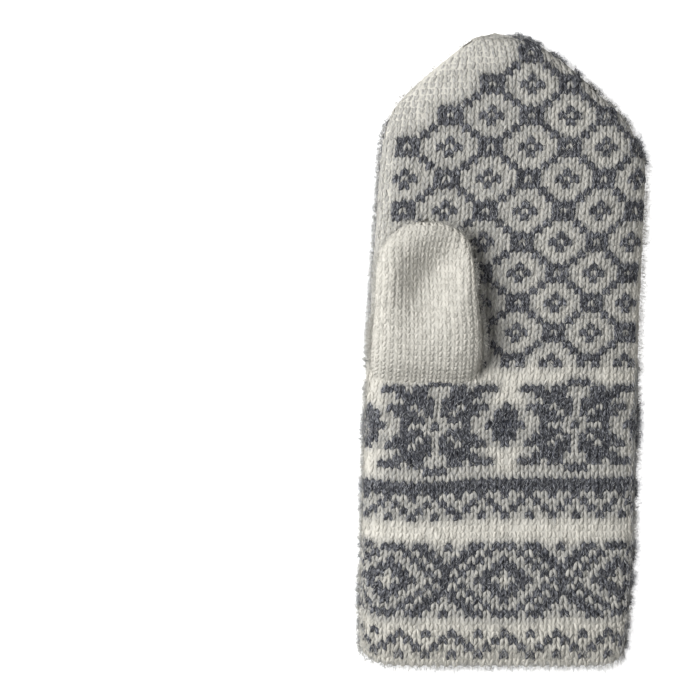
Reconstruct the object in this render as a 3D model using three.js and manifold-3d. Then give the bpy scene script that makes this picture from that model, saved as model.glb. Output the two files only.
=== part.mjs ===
import * as THREE from "three";
import Module from "manifold-3d";

// A knitted wool mitten for the left hand, lying flat with its palm up.
// Millimetres. +X points away from the thumb's side, +Y to the fingertips and +Z up.
// The origin is the middle of the mitten's outline, on the surface that it lies on.
// Two pieces, as it is knitted: the hand, one tube from the cuff's edge to the closed tip, and the
// thumb, a smaller tube that stands on the edge of an opening in the palm and lies over the palm.

// Driving dimensions
const HAND_WALL = 3; // two strands of yarn
const THUMB_WALL = 2.2; // one strand
const SEAM_GAP = 0.3; // between the thumb's foot and the edge of its opening
const LYING_GAP = 0.6; // between the thumb's back and the palm that it lies on
const CUFF_BOW = 7.5; // how far the cuff's corners lie above the middle of its edge
const CUFF_BOW_POWER = 8; // the higher, the closer that bow keeps to the corners
const CUFF_SLANT = 0.035; // rise of the cuff's edge for each millimetre across it
const CUFF_FADE = 90; // how far up the hand the bow and the slant fade out
const SIDE_LEVEL = 0.44; // height of the widest line, as a share of the mitten's thickness
const SETTLE = 0.7; // how deep the underside would reach if the surface did not flatten it
const WALL_SHARE = 0.45; // the most of a section's thickness that one wall takes
const TIP_EASE = 0.3; // how much of its side walls a tube gives up to the wall of its tip

// How square the cross-section is: 2 is an ellipse, and more is boxier.
const PALM_FULLNESS = 3;
const UNDERSIDE_FULLNESS = 5;
const THUMB_FULLNESS = 2.6;

// Facets: how many round each tube, and how many along each section of its outside and inside
const HAND_SIDES = 48;
const THUMB_SIDES = 28;
const OUTSIDE_STEPS = 2;
const INSIDE_STEPS = 1;
const HALVINGS = 24; // of the table's length, to find the row at a height
const HAND_HOLLOW_SHORT = 2; // rows of the table before the tip at which the hollow ends
const THUMB_HOLLOW_SHORT = 1;

// The hand from the cuff's edge to the tip. left and right are the outline's sides, top and base
// the heights of the palm and the underside, closing how much a section belongs to the tip's end.
const HAND_SECTIONS = [
  { y: -132, left: -57.6, right: 57.5, top: 14.6, base: 0, closing: 0 },
  { y: -110, left: -58.1, right: 58.4, top: 15.4, base: 0, closing: 0 },
  { y: -86, left: -58.2, right: 58.7, top: 16.2, base: 0, closing: 0 },
  { y: -60, left: -58.3, right: 58.2, top: 17.2, base: 0, closing: 0 },
  { y: -30, left: -58.7, right: 57.7, top: 18.2, base: 0, closing: 0 },
  { y: 0, left: -58.6, right: 57.2, top: 18.6, base: 0, closing: 0 },
  { y: 30, left: -58.1, right: 57.1, top: 18.4, base: 0, closing: 0 },
  { y: 58, left: -57.4, right: 57.3, top: 17.8, base: 0, closing: 0 },
  { y: 78, left: -56.8, right: 57, top: 16.8, base: 0, closing: 0 },
  { y: 90, left: -55.2, right: 52.6, top: 15.8, base: 0, closing: 0.2 },
  { y: 100, left: -51, right: 45.6, top: 14.8, base: 0, closing: 0.4 },
  { y: 110, left: -42.2, right: 34.4, top: 13.6, base: 0, closing: 0.5 },
  { y: 119, left: -32.4, right: 24, top: 12, base: 0, closing: 0.6 },
  { y: 126, left: -24.4, right: 14, top: 10.2, base: 0.2, closing: 0.7 },
  { y: 130.6, left: -18.4, right: 5.6, top: 8.2, base: 1.2, closing: 0.85 },
  { y: 132.4, left: -14.2, right: -1.6, top: 6.4, base: 2.8, closing: 0.95 },
  { y: 133, left: -8.6, right: -8.6, top: 4.6, base: 4.6, closing: 1 },
];

// The thumb from its foot in the palm to its tip. Each section is an oval between a point of the
// front, which is seen, and a point of the back, which lies on the palm. slope is how much of the
// palm's slope the section takes on.
const THUMB_SECTIONS = [
  { frontY: -15.5, frontZ: 14.6, backY: 10, backZ: 14.6, left: -53.6, right: -10.6, slope: 1, closing: 0 },
  { frontY: -13.6, frontZ: 19.2, backY: 10.3, backZ: 17, left: -54.8, right: -9.8, slope: 0.8, closing: 0 },
  { frontY: -8.8, frontZ: 25, backY: 11, backZ: 18.2, left: -55.6, right: -9.4, slope: 0.6, closing: 0 },
  { frontY: -0.6, frontZ: 29.6, backY: 13, backZ: 18.8, left: -55.8, right: -9.8, slope: 0.5, closing: 0 },
  { frontY: 10, frontZ: 32.4, backY: 17.4, backZ: 18.8, left: -55.8, right: -11, slope: 0.45, closing: 0 },
  { frontY: 24, frontZ: 33.4, backY: 26, backZ: 18.8, left: -55.9, right: -12.9, slope: 0.4, closing: 0 },
  { frontY: 36, frontZ: 33, backY: 36.5, backZ: 18.8, left: -55.4, right: -15, slope: 0.35, closing: 0.1 },
  { frontY: 44, frontZ: 31.6, backY: 44, backZ: 18.8, left: -51.8, right: -17.2, slope: 0.25, closing: 0.4 },
  { frontY: 49.2, frontZ: 29.2, backY: 49.2, backZ: 19.6, left: -46.6, right: -21.2, slope: 0.15, closing: 0.7 },
  { frontY: 51.8, frontZ: 26.8, backY: 51.8, backZ: 21.2, left: -40.6, right: -27.4, slope: 0.05, closing: 0.9 },
  { frontY: 52.6, frontZ: 24, backY: 52.6, backZ: 24, left: -34, right: -34, slope: 0, closing: 1 },
];
const CUTTER_SECTIONS = 4; // the thumb's sections that pass through the palm
const CUTTER_DEPTH = 9; // how far below the thumb's foot its opening is cut
const SHORTEST_EDGE = 0.05; // a shorter one, left by the cut, is drawn together

// Soft rises and hollows, each a rounded swell of that height and reach.
const PALM_SWELLS = [
  { x: -30, y: -48, reachX: 24, reachY: 18, rise: 1.0 },
  { x: 26, y: -52, reachX: 26, reachY: 13, rise: -0.8 },
  { x: -32, y: 38, reachX: 24, reachY: 26, rise: -1.4 },
  { x: 26, y: 36, reachX: 22, reachY: 40, rise: 0.7 },
  { x: 4, y: -8, reachX: 9, reachY: 16, rise: -0.9 },
  { x: 0, y: -122, reachX: 34, reachY: 9, rise: 0.8 },
];
const THUMB_SWELLS = [
  { x: -41, y: 30, reachX: 8, reachY: 17, rise: -2 },
  { x: -18, y: 14, reachX: 7, reachY: 22, rise: 0.5 },
];

// A smooth curve through the rows of a table, at a place counted in rows.
function rowAt(table, place) {
  const last = table.length - 1;
  const first = Math.min(Math.floor(place), last - 1);
  const t = place - first;
  const near = [-1, 0, 1, 2].map((k) => table[THREE.MathUtils.clamp(first + k, 0, last)]);
  const weights = [
    -0.5 * t + t * t - 0.5 * t ** 3,
    1 - 2.5 * t * t + 1.5 * t ** 3,
    0.5 * t + 2 * t * t - 1.5 * t ** 3,
    -0.5 * t * t + 0.5 * t ** 3,
  ];
  const row = {};
  for (const column of Object.keys(table[0]))
    row[column] = near.reduce((sum, r, k) => sum + weights[k] * r[column], 0);
  return row;
}

// A point of a unit oval at an angle, squarer than a circle as its fullness grows.
function ovalPoint(angle, fullness) {
  const power = 2 / fullness;
  const across = Math.cos(angle);
  const up = Math.sin(angle);
  return [Math.sign(across) * Math.abs(across) ** power, Math.sign(up) * Math.abs(up) ** power];
}

function swell(swells, x, y) {
  return swells.reduce((sum, s) => {
    const distance = ((x - s.x) / s.reachX) ** 2 + ((y - s.y) / s.reachY) ** 2;
    return sum + s.rise * Math.exp(-distance);
  }, 0);
}

// The hand's surface at a place along its table and an angle round it, set in by depth.
function handPoint(place, angle, depth) {
  const s = rowAt(HAND_SECTIONS, place);
  const sideways = depth * (1 - TIP_EASE * s.closing);
  const half = Math.max((s.right - s.left) / 2 - sideways, 0);
  const base = Math.max(s.base, 0);
  const level = base + SIDE_LEVEL * (s.top - base);
  const facingUp = Math.sin(angle) >= 0;
  const [across, up] = ovalPoint(angle, facingUp ? PALM_FULLNESS : UNDERSIDE_FULLNESS);
  const thin = Math.min(depth, WALL_SHARE * (s.top - base));
  const reach = facingUp ? s.top - thin - level : level - base - thin + SETTLE * (1 - s.closing);
  const x = (s.left + s.right) / 2 + half * across;
  const edge = CUFF_BOW * Math.abs(across) ** CUFF_BOW_POWER + CUFF_SLANT * x;
  const fade = Math.max(0, 1 - (s.y - HAND_SECTIONS[0].y) / CUFF_FADE) ** 2;
  const y = s.y - depth * s.closing + edge * fade;
  const z = level + Math.max(reach, 0) * up;
  const lift = facingUp ? swell(PALM_SWELLS, x, y) * up * (1 - s.closing) : 0;
  return new THREE.Vector3(x, y, Math.max(z + lift, base + thin));
}

// The height of the palm's outer face over a point of the surface below.
function palmHeight(x, y) {
  let low = 0;
  let high = HAND_SECTIONS.length - 1;
  for (let i = 0; i < HALVINGS; i += 1) {
    const middle = (low + high) / 2;
    if (rowAt(HAND_SECTIONS, middle).y < y) low = middle;
    else high = middle;
  }
  const s = rowAt(HAND_SECTIONS, low);
  const off = (x - (s.left + s.right) / 2) / ((s.right - s.left) / 2);
  const share = Math.max(0, 1 - Math.abs(off) ** PALM_FULLNESS) ** (1 / PALM_FULLNESS);
  const level = s.base + SIDE_LEVEL * (s.top - s.base);
  return level + (s.top - level) * share + swell(PALM_SWELLS, x, y) * share;
}

// The thumb's surface at a place along its table and an angle round it. A depth below 0 is outside it.
function thumbPoint(place, angle, depth) {
  const s = rowAt(THUMB_SECTIONS, place);
  const [across, up] = ovalPoint(angle, THUMB_FULLNESS);
  const half = Math.max((s.right - s.left) / 2 - depth * (1 - TIP_EASE * s.closing), 0);
  const middleX = (s.left + s.right) / 2;
  const middleY = (s.frontY + s.backY) / 2;
  const rise = new THREE.Vector2(s.frontY - s.backY, s.frontZ - s.backZ).divideScalar(2);
  const tall = rise.length();
  rise.multiplyScalar(Math.max(tall - Math.min(depth, 2 * WALL_SHARE * tall), 0) / (tall || 1));
  const x = middleX + half * across;
  const y = middleY + rise.x * up - depth * s.closing;
  const slope = palmHeight(x, y) - palmHeight(middleX, y);
  let z = (s.frontZ + s.backZ) / 2 + rise.y * up + s.slope * slope;
  if (up > 0) z += swell(THUMB_SWELLS, x, y) * up * (1 - s.closing);
  const lies = place > CUTTER_SECTIONS - 2 && depth >= 0;
  return new THREE.Vector3(x, y, lies ? Math.max(z, palmHeight(x, y) + LYING_GAP + depth) : z);
}

// A closed body from rings of points. A ring of one point is a pole, and rings that start and end
// with no pole are capped with a fan.
function bodyFromRings(rings) {
  const positions = [];
  const starts = [];
  for (const ring of rings) {
    starts.push(positions.length / 3);
    for (const point of ring) positions.push(point.x, point.y, point.z);
  }
  const faces = [];
  for (let i = 0; i + 1 < rings.length; i += 1) {
    const [from, to] = [rings[i].length, rings[i + 1].length];
    const sides = Math.max(from, to);
    for (let j = 0; j < sides; j += 1) {
      const next = (j + 1) % sides;
      const a = starts[i] + (from === 1 ? 0 : j);
      const b = starts[i] + (from === 1 ? 0 : next);
      const c = starts[i + 1] + (to === 1 ? 0 : next);
      const d = starts[i + 1] + (to === 1 ? 0 : j);
      if (a !== b) faces.push(a, c, b);
      if (c !== d) faces.push(a, d, c);
    }
  }
  const last = rings.length - 1;
  for (let j = 1; j + 1 < rings[0].length; j += 1) faces.push(starts[0], starts[0] + j, starts[0] + j + 1);
  for (let j = 1; j + 1 < rings[last].length; j += 1)
    faces.push(starts[last], starts[last] + j + 1, starts[last] + j);
  const geometry = new THREE.BufferGeometry();
  geometry.setAttribute("position", new THREE.Float32BufferAttribute(positions, 3));
  geometry.setIndex(faces);
  return geometry;
}

// The rings of a surface from its foot up to a row of its table.
function ringsUpTo(row, pointAt, steps, sides, depth) {
  const rings = [];
  for (let i = 0; i <= row * steps; i += 1) {
    const ring = [];
    for (let j = 0; j < sides; j += 1) ring.push(pointAt(i / steps, (2 * Math.PI * j) / sides, depth));
    rings.push(ring);
  }
  return rings;
}

// The same rings with the last one drawn together to a pole in its middle.
function closedRings(...surface) {
  const rings = ringsUpTo(...surface);
  const last = rings.pop();
  const pole = new THREE.Vector3();
  for (const point of last) pole.addScaledVector(point, 1 / last.length);
  return [...rings, [pole]];
}

// A tube that is open at its foot and closed at its tip, with a wall of that thickness. Its hollow
// ends a few rows short of the tip.
function tubeWithWall(pointAt, table, sides, wall, short) {
  const tip = table.length - 1;
  const outside = closedRings(tip, pointAt, OUTSIDE_STEPS, sides, 0);
  const inside = closedRings(tip - short, pointAt, INSIDE_STEPS, sides, wall);
  return bodyFromRings([...inside.reverse(), ...outside]);
}

const wasm = await Module();
wasm.setup();

function solidFrom(geometry) {
  const vertProperties = new Float32Array(geometry.getAttribute("position").array);
  const triVerts = new Uint32Array(geometry.getIndex().array);
  return new wasm.Manifold(new wasm.Mesh({ numProp: 3, vertProperties, triVerts }));
}

// The geometry of a solid, with the ends of each tiny edge made one corner.
function geometryFrom(solid) {
  const { vertProperties, triVerts } = solid.getMesh();
  const corner = (i) => new THREE.Vector3().fromArray(vertProperties, 3 * i);
  const keptAs = new Map();
  const kept = (i) => (keptAs.has(i) ? kept(keptAs.get(i)) : i);
  for (let i = 0; i < triVerts.length; i += 1) {
    const next = i % 3 === 2 ? i - 2 : i + 1;
    const [a, b] = [kept(triVerts[i]), kept(triVerts[next])];
    if (a !== b && corner(a).distanceTo(corner(b)) < SHORTEST_EDGE) keptAs.set(b, a);
  }
  const faces = [];
  for (let i = 0; i < triVerts.length; i += 3) {
    const [a, b, c] = [0, 1, 2].map((k) => kept(triVerts[i + k]));
    if (a !== b && b !== c && c !== a) faces.push(a, b, c);
  }
  const geometry = new THREE.BufferGeometry();
  geometry.setAttribute("position", new THREE.Float32BufferAttribute(vertProperties, 3));
  geometry.setIndex(faces);
  geometry.computeVertexNormals();
  return geometry;
}

// What the thumb's foot takes out of the palm: its outside, a little wider, run on down below it.
function thumbOpeningCutter() {
  const rings = ringsUpTo(CUTTER_SECTIONS - 1, thumbPoint, OUTSIDE_STEPS, THUMB_SIDES, -SEAM_GAP);
  const below = rings[0].map((p) => new THREE.Vector3(p.x, p.y, p.z - CUTTER_DEPTH));
  return bodyFromRings([below, ...rings]);
}

function makeHand() {
  const tube = solidFrom(tubeWithWall(handPoint, HAND_SECTIONS, HAND_SIDES, HAND_WALL, HAND_HOLLOW_SHORT));
  const geometry = geometryFrom(tube.subtract(solidFrom(thumbOpeningCutter())));
  const wool = new THREE.MeshStandardMaterial({ color: 0x9b9a98, roughness: 0.95, metalness: 0 });
  const hand = new THREE.Mesh(geometry, wool);
  hand.name = "hand";
  return hand;
}

function makeThumb() {
  const geometry = tubeWithWall(thumbPoint, THUMB_SECTIONS, THUMB_SIDES, THUMB_WALL, THUMB_HOLLOW_SHORT);
  const wool = new THREE.MeshStandardMaterial({ color: 0xd9d5ca, roughness: 0.95, metalness: 0 });
  const thumb = new THREE.Mesh(geometry, wool);
  thumb.name = "thumb";
  return thumb;
}

const mitten = new THREE.Group();
mitten.add(makeHand(), makeThumb());

export default mitten;
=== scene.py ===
"""A knitted wool mitten for the left hand, lying flat on a pale floor with its palm up.

The knitting is built stitch by stitch. A stitch is two short legs of yarn, and its place is counted
in rows from the cuff's edge and in columns from the palm's middle, on a sheet that wraps the hand.
The tables are in millimetres, and the meshes in metres.
"""
import math
from collections import namedtuple

import bpy
import numpy as np
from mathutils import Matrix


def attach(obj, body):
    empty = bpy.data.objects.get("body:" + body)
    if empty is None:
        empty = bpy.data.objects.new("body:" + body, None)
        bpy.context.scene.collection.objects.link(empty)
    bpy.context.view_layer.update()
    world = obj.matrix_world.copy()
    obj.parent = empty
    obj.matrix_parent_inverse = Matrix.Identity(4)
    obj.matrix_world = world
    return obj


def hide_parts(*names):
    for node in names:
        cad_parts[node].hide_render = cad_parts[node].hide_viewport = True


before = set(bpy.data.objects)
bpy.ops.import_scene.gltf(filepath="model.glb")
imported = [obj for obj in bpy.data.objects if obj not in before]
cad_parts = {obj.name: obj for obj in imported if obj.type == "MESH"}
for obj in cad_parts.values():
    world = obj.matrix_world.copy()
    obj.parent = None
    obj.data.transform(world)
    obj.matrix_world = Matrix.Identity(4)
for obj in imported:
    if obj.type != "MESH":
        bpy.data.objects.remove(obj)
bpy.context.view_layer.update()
MM = 0.001

# The camera, straight above and turned a little about the vertical
VIEW_WIDTH = 294 * MM
VIEW_CENTRE = (-65.0 * MM, -3.2 * MM)
VIEW_TURN = math.radians(2.44)
VIEW_HEIGHT = 2.2
OUTLINE_HEIGHT = 8 * MM  # where the mitten is widest, and the view width is measured

# The hand's shape, the same rows as its solid has
# y, left, right, top, base, closing
HAND_SECTIONS = np.array([
    (-132, -57.6, 57.5, 14.6, 0, 0),
    (-110, -58.1, 58.4, 15.4, 0, 0),
    (-86, -58.2, 58.7, 16.2, 0, 0),
    (-60, -58.3, 58.2, 17.2, 0, 0),
    (-30, -58.7, 57.7, 18.2, 0, 0),
    (0, -58.6, 57.2, 18.6, 0, 0),
    (30, -58.1, 57.1, 18.4, 0, 0),
    (58, -57.4, 57.3, 17.8, 0, 0),
    (78, -56.8, 57, 16.8, 0, 0),
    (90, -55.2, 52.6, 15.8, 0, 0.2),
    (100, -51, 45.6, 14.8, 0, 0.4),
    (110, -42.2, 34.4, 13.6, 0, 0.5),
    (119, -32.4, 24, 12, 0, 0.6),
    (126, -24.4, 14, 10.2, 0.2, 0.7),
    (130.6, -18.4, 5.6, 8.2, 1.2, 0.85),
    (132.4, -14.2, -1.6, 6.4, 2.8, 0.95),
    (133, -8.6, -8.6, 4.6, 4.6, 1),
])
CUFF_BOWS = ((7.2, 9), (5, 14))  # how far the cuff's edge bows up, and how near its sides, left and right
CUFF_SLANT = 0.035  # how far it rises for each mm to the right
CUFF_FADE = 90  # the height over which both fade
SIDE_LEVEL = 0.44  # the share of the height at which the sides lie
SETTLE = 0.7  # how far the underside's oval is pressed into the floor, where it lies flat
SIDE_INSETS = (0.8, 1.0)  # how far the stitches lie inside the solid's sides, left and right
CUFF_INSET = 1.1  # how much further in they lie at the cuff's edge
INSET_POWER = 8
PALM_FULLNESS = 3
UNDERSIDE_FULLNESS = 5
NARROWEST = 0.1  # the least half width that a section counts as
HAND_STEPS = 500  # sections that are worked out along the hand
PALM_STEPS = 400  # and along the profile of its palm

# The thumb's shape, as its solid's but for the first four rows, which reach a little further left
# frontY, frontZ, backY, backZ, left, right, slope, closing
THUMB_SECTIONS = np.array([
    (-15.5, 14.6, 10, 14.6, -56.6, -10.6, 1, 0),
    (-13.6, 19.2, 10.3, 17, -56.8, -9.8, 0.8, 0),
    (-8.8, 25, 11, 18.2, -56.8, -9.4, 0.6, 0),
    (-0.6, 29.6, 13, 18.8, -56.4, -9.8, 0.5, 0),
    (10, 32.4, 17.4, 18.8, -55.8, -11, 0.45, 0),
    (24, 33.4, 26, 18.8, -55.9, -12.9, 0.4, 0),
    (36, 33, 36.5, 18.8, -55.4, -15, 0.35, 0.1),
    (44, 31.6, 44, 18.8, -51.8, -17.2, 0.25, 0.4),
    (49.2, 29.2, 49.2, 19.6, -46.6, -21.2, 0.15, 0.7),
    (51.8, 26.8, 51.8, 21.2, -40.6, -27.4, 0.05, 0.9),
    (52.6, 24, 52.6, 24, -34, -34, 0, 1),
])
THUMB_FULLNESS = 2.6
FOOT_FULLNESS = 5  # squarer at the thumb's foot
FOOT_ENDS = 4.5  # the row of the table where it has rounded
LYING_GAP = 0.6  # the least gap between the thumb and the palm under it
FOOT_SECTIONS = 2  # the first rows of the thumb's table, which pass through the palm
THUMB_STEPS = 300

# x, y, reach along x, reach along y, rise
PALM_SWELLS = (
    (-30, -48, 24, 18, 1),
    (26, -52, 26, 13, -0.8),
    (-32, 38, 24, 26, -1.4),
    (26, 36, 22, 40, 0.7),
    (4, -8, 9, 16, -0.9),
    (0, -122, 34, 9, 0.8),
)
THUMB_SWELLS = (
    (-22, 43, 11, 9, -6),
    (-30, 33, 13, 11, -8.2),
    (-36, 19, 11, 11, -5.4),
    (-49, 30, 5, 14, 1),
    (-18, 14, 7, 22, 0.5),
)

# The knitting of the hand, 72 columns round it and 100 rows from the cuff's edge
COLUMNS = 72
PALM_EDGE = 16.5  # columns from the palm's middle to the edge of its pattern
FRONT_EDGE = 19.5  # and to the edge stitch of the front, which runs along the side
BACK_EDGE = 14.5  # columns from the back's middle to the edge stitch of the back
HAND_ROWS = 100
# row, and its height on the middle line
ROW_HEIGHTS = np.array([
    (0, -131.6), (4, -119.8), (7, -111.4), (17, -83.2), (22, -69.8), (28, -53.2), (29, -49.9),
    (43, -14.5), (46, -6.4), (51, 6.5), (61, 31.3), (71, 57.4), (81, 84.3), (91, 110.8),
    (96, 124.0), (98, 128.8), (99, 131.0), (100, 133.2),
])
ROW_SLANT = 0.0426  # how far the rows rise for each mm to the right
ROW_WAVES = ((-34, -57, 20, 25, -2.1),)  # as the swells above, but along y
# height, and where the palm's middle column stands there
MIDDLE_COLUMN = np.array([
    (-132, 4.9), (-122, 4.8), (-97, 3.3), (-70, 3.0), (-33, 1.0), (6.5, 4.1), (31.3, 4.3),
    (57.4, 5.7), (84.3, 7.1), (110.8, 6.8), (124, 5.8), (130, 4.5), (133, -4),
])
# row, and the width of a stitch there
STITCH_WIDTHS = np.array([
    (0, 3.68), (6, 3.66), (12, 3.5), (19, 3.3), (27, 3.28), (30, 3.26), (43, 3.24), (47, 3.16),
    (61, 3.22), (71, 3.26), (76, 3.3), (100, 3.3),
])
STITCH_LEAN = 0.0033  # the share by which the palm's stitches are wider for each column to the left
CLOSING_ROWS = (78, 86)  # where the tip starts to close, and where it closes in full
EDGE_WIDTH = 1.05  # of an edge stitch at the tip, in stitches
EDGE_PARTS = 14  # and it takes at most one in so many parts of the way round
SEAM_SHARE = 0.44  # the most of the way round that lies between the palm's middle and an edge stitch
SEAM_PAST = 0.6  # how far the left edge stitch lies past the tip's leftmost point
RIGHT_TAKEN = 1.3  # columns that the decreases take on the right for each one on the left
LEAN_COLUMNS = 4  # STITCH_LEAN fades over so many columns before the edge stitch
LEAN_ROWS = 10  # and grows over so many rows of the lattice
TIP_GAP = 0.1  # between the last row and the highest one that goes all the way round

# The knitting of the thumb
THUMB_ROWS = 31
THUMB_HALF = 16  # columns on each side of its front's middle
THUMB_STITCH = 3.4
THUMB_END = 1.2  # from its last row to its tip, along its front
FOOT_FLARE = 1.5  # how far the thumb's foot spreads on the palm
FOOT_FADE = 3.2  # the height over which that fades
FLARE_SHARE = 2 / 3  # the share of a section, from its front, that spreads
FLARE_POWER = 1.2
FOOT_SINK = 0.5  # how far below the palm's face the spread foot may lie

# The yarn
LEG_DEPTH = 0.8  # of a leg's centre line below the knitting's outer face
LEG_HALVES = (0.84, 0.36)  # half a leg's width and half its thickness
AMONG = (0.3, 0.5)  # the shares of the other yarn round a stitch from which it counts as among it
# fullness, how much each leg varies, and for a stitch among those of the other yarn the mm it lies higher,
# the share it is slimmer and the share of the neighbours' fibres that it is free of
CUFF_WHITE = (1.0, 1.0, 0.24, -0.1, 0.35)
WRIST_WHITE = (1.0, 1.0, 0.1, 0.04, 0.3)
PALM_WHITE = (0.98, 1.0, 0.0, 0.1, 0.1)
GREY_SHAPE = (1.12, 1.0, 0.2, -0.18, 0.0)
THUMB_SHAPE = (0.96, 0.5, 0.0, 0.0, 0.0)
GROUND_DEPTH = 0.7  # of the ground behind the stitches
GREY_GROUND = 0.4  # how much deeper it is where it is grey
FLOAT_GREY = 2.6  # the grey strands behind the white stitches darken the ground by this share
HAND_WALL = 3
THUMB_WALL = 2.2
WALLS = 2.4  # where the knitting is thinner than so many walls, the ground's wall thins with it
THINNEST = 0.1  # to this share at the least
GROUND_START = -0.4  # the row at which the ground starts
YARN_LOWEST = 0.02  # the least height over the floor, for yarn, ground and loose fibres
GROUND_LOWEST = 0.05
FIBRE_LOWEST = 0.04
SEED = 20
rng = np.random.default_rng(SEED)


# Surfaces
def rows_at(table, places):
    """A smooth curve through the rows of a table, at places counted in rows. One array per column."""
    places = np.asarray(places, float)
    last = len(table) - 1
    first = np.minimum(np.floor(places).astype(int), last - 1)
    t = (places - first)[..., None]
    near = [table[np.clip(first + k, 0, last)] for k in (-1, 0, 1, 2)]
    weights = (
        -0.5 * t + t ** 2 - 0.5 * t ** 3,
        1 - 2.5 * t ** 2 + 1.5 * t ** 3,
        0.5 * t + 2 * t ** 2 - 1.5 * t ** 3,
        -0.5 * t ** 2 + 0.5 * t ** 3,
    )
    row = sum(w * r for w, r in zip(weights, near))
    return [row[..., k] for k in range(table.shape[1])]


def swell(swells, x, y):
    return sum(rise * np.exp(-((x - at_x) / reach_x) ** 2 - ((y - at_y) / reach_y) ** 2)
               for at_x, at_y, reach_x, reach_y, rise in swells)


def oval(angles, fullness):
    power = 2 / fullness
    across, up = np.cos(angles), np.sin(angles)
    return np.sign(across) * np.abs(across) ** power, np.sign(up) * np.abs(up) ** power


def hand_surface(places, angles):
    """Points of the hand's outer face, in mm, and how far along y the cuff's bow has pushed them."""
    y, left, right, top, base, closing = (v[:, None] for v in rows_at(HAND_SECTIONS, places))
    base = np.maximum(base, 0)
    level = base + SIDE_LEVEL * (top - base)
    facing_up = np.sin(angles) >= 0
    across, up = np.where(facing_up, oval(angles, PALM_FULLNESS), oval(angles, UNDERSIDE_FULLNESS))
    reach = np.where(facing_up, top - level, level - base + SETTLE * (1 - closing))
    near_cuff = np.maximum(0, 1 - (y - HAND_SECTIONS[0][0]) / CUFF_FADE) ** 2
    inset = np.where(across < 0, *SIDE_INSETS) + CUFF_INSET * near_cuff
    inset = np.where(across < 0, inset, -inset)
    middle, half = (left + right) / 2, (right - left) / 2
    x = middle + half * across + inset * np.abs(across) ** INSET_POWER * (1 - closing)
    bow = np.where(across < 0, *(rise * np.abs(across) ** power for rise, power in CUFF_BOWS)) * near_cuff
    y = y + bow + CUFF_SLANT * x * near_cuff
    lift = np.where(facing_up, swell(PALM_SWELLS, x, y) * up * (1 - closing), 0)
    z = np.maximum(level + reach * up + lift, base)
    return np.stack([x, y, z], -1), bow


def palm_height(x, y):
    """The height of the palm's outer face over points of the floor."""
    places = np.linspace(0, len(HAND_SECTIONS) - 1, PALM_STEPS)
    heights = rows_at(HAND_SECTIONS, places)[0]
    _, left, right, top, base, _ = rows_at(HAND_SECTIONS, np.interp(y, heights, places))
    off = (x - (left + right) / 2) / np.maximum((right - left) / 2, NARROWEST)
    share = np.maximum(0, 1 - np.abs(off) ** PALM_FULLNESS) ** (1 / PALM_FULLNESS)
    level = base + SIDE_LEVEL * (top - base)
    return level + (top - level) * share + swell(PALM_SWELLS, x, y) * share


def thumb_surface(places, angles):
    """Points of the thumb's outer face, in mm."""
    columns = [v[:, None] for v in rows_at(THUMB_SECTIONS, places)]
    front_y, front_z, back_y, back_z, left, right, slope, closing = columns
    share = np.clip(1 - np.asarray(places, float)[:, None] / FOOT_ENDS, 0, 1)
    across, up = oval(angles[None, :], THUMB_FULLNESS + (FOOT_FULLNESS - THUMB_FULLNESS) * share)
    middle = (left + right) / 2
    x = middle + (right - left) / 2 * across
    y = (front_y + back_y) / 2 + (front_y - back_y) / 2 * up
    tilt = palm_height(x, y) - palm_height(middle + 0 * x, y)
    z = (front_z + back_z) / 2 + (front_z - back_z) / 2 * up + slope * tilt
    z = z + np.where(up > 0, swell(THUMB_SWELLS, x, y) * up * (1 - closing), 0)
    lies = np.asarray(places)[:, None] > FOOT_SECTIONS
    return np.stack([x, y, np.where(lies, np.maximum(z, palm_height(x, y) + LYING_GAP), z)], -1)


# The sheets of stitches
Sheet = namedtuple("Sheet", "points first")  # points by row and column, and the first column's number
SHEET_STEP = 0.5  # rows and columns between the points of a sheet
BELOW_EDGE = 0.6  # rows by which a sheet runs on below its first row
INSIDE = 1.001  # keeps a place inside the last cell of a table
ROW_REACH = 0.6  # how far off in rows and columns a direction on a sheet is measured
COLUMN_REACH = 0.4
ROUND_POINTS = 720
UNDER = -math.pi / 2  # the angle at the middle of the underside


def clockwise_angles():
    """Round a section from the middle of the underside by the thumb's side, the palm and the far side."""
    return UNDER - np.linspace(0, 2 * math.pi, ROUND_POINTS + 1)


def sheet_steps(first, last):
    return np.arange(first, last + SHEET_STEP / 2, SHEET_STEP)


def ring_lengths(ring):
    steps = np.linalg.norm(np.diff(ring, axis=0), axis=1)
    return np.concatenate([[0], np.cumsum(steps)])


def crossing(ring, lengths, x):
    """The distance round a ring at which its upper side crosses x."""
    upper = slice(ROUND_POINTS // 4, 3 * ROUND_POINTS // 4)
    return np.interp(x, ring[upper, 0], lengths[upper])


def along_ring(ring, lengths, distances):
    """Points of a closed ring at distances round it."""
    at = distances % lengths[-1]
    return np.stack([np.interp(at, lengths, ring[:, k]) for k in range(3)], -1)


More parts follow.
